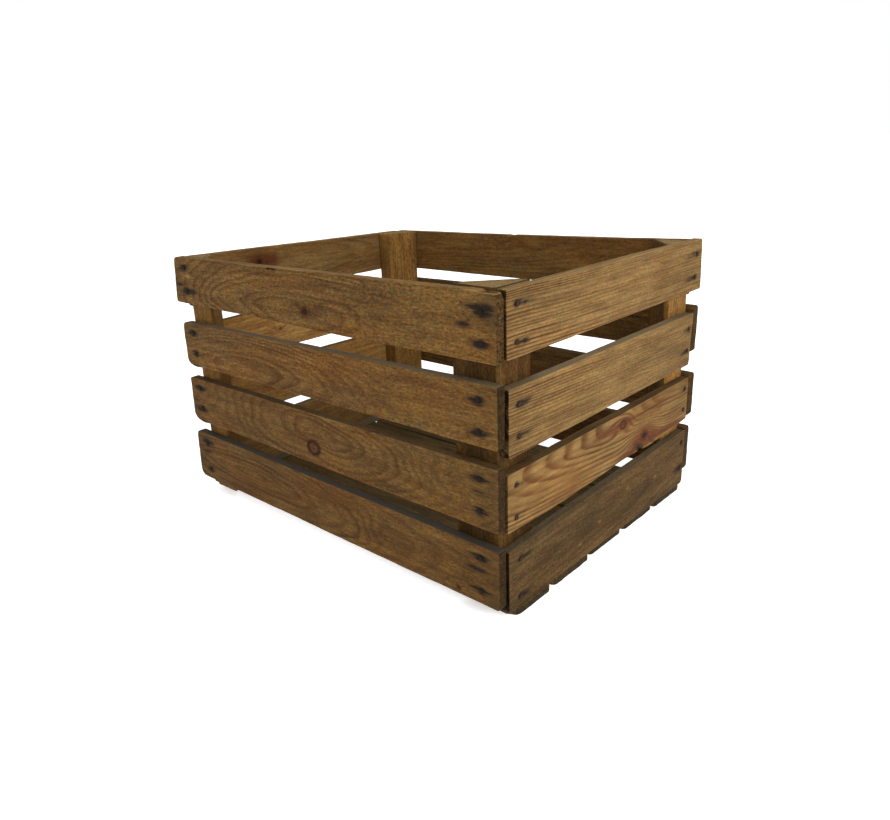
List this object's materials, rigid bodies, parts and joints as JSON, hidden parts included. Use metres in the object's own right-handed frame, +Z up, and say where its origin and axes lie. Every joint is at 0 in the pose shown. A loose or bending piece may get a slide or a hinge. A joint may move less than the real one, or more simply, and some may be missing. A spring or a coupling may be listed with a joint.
{
  "type": "wooden apple crate",
  "caption": "Old slatted wooden fruit crate: spaced boards nailed to triangular corner posts over a slatted bottom, open at the top.",
  "frame": {"origin": "on the ground, under the middle of the crate, halfway between its two ends and its two long sides", "axes": "+X along the long sides towards the right end, +Y across towards the back, +Z up through the open top"},
  "size_m": [0.5129, 0.402, 0.3238],
  "materials": {
    "long_boards": "rough-sawn old pine, grey brown, dirty and dry",
    "end_boards": "rough-sawn old pine, warm tan with strong grain",
    "corner_posts": "sawn pine, brown",
    "bottom_slats": "rough-sawn pine, dirty dark brown",
    "nails": "rusted wire nails, dark brown grey"
  },
  "bodies": {
    "root": {"front_board_1": "long_boards", "front_board_2": "long_boards", "front_board_3": "long_boards", "front_board_4": "long_boards", "back_board_1": "long_boards", "back_board_2": "long_boards", "back_board_3": "long_boards", "back_board_4": "long_boards", "left_end_board_1": "end_boards", "left_end_board_2": "end_boards", "left_end_board_3": "end_boards", "left_end_board_4": "end_boards", "right_end_board_1": "end_boards", "right_end_board_2": "end_boards", "right_end_board_3": "end_boards", "right_end_board_4": "end_boards", "corner_post_front_left": "corner_posts", "corner_post_front_right": "corner_posts", "corner_post_back_left": "corner_posts", "corner_post_back_right": "corner_posts", "bottom_slat_1": "bottom_slats", "bottom_slat_2": "bottom_slats", "bottom_slat_3": "bottom_slats", "bottom_slat_4": "bottom_slats", "bottom_slat_5": "bottom_slats", "front_nails": "nails", "back_nails": "nails", "left_end_nails": "nails", "right_end_nails": "nails", "bottom_nails": "nails"}
  },
  "joints": []
}
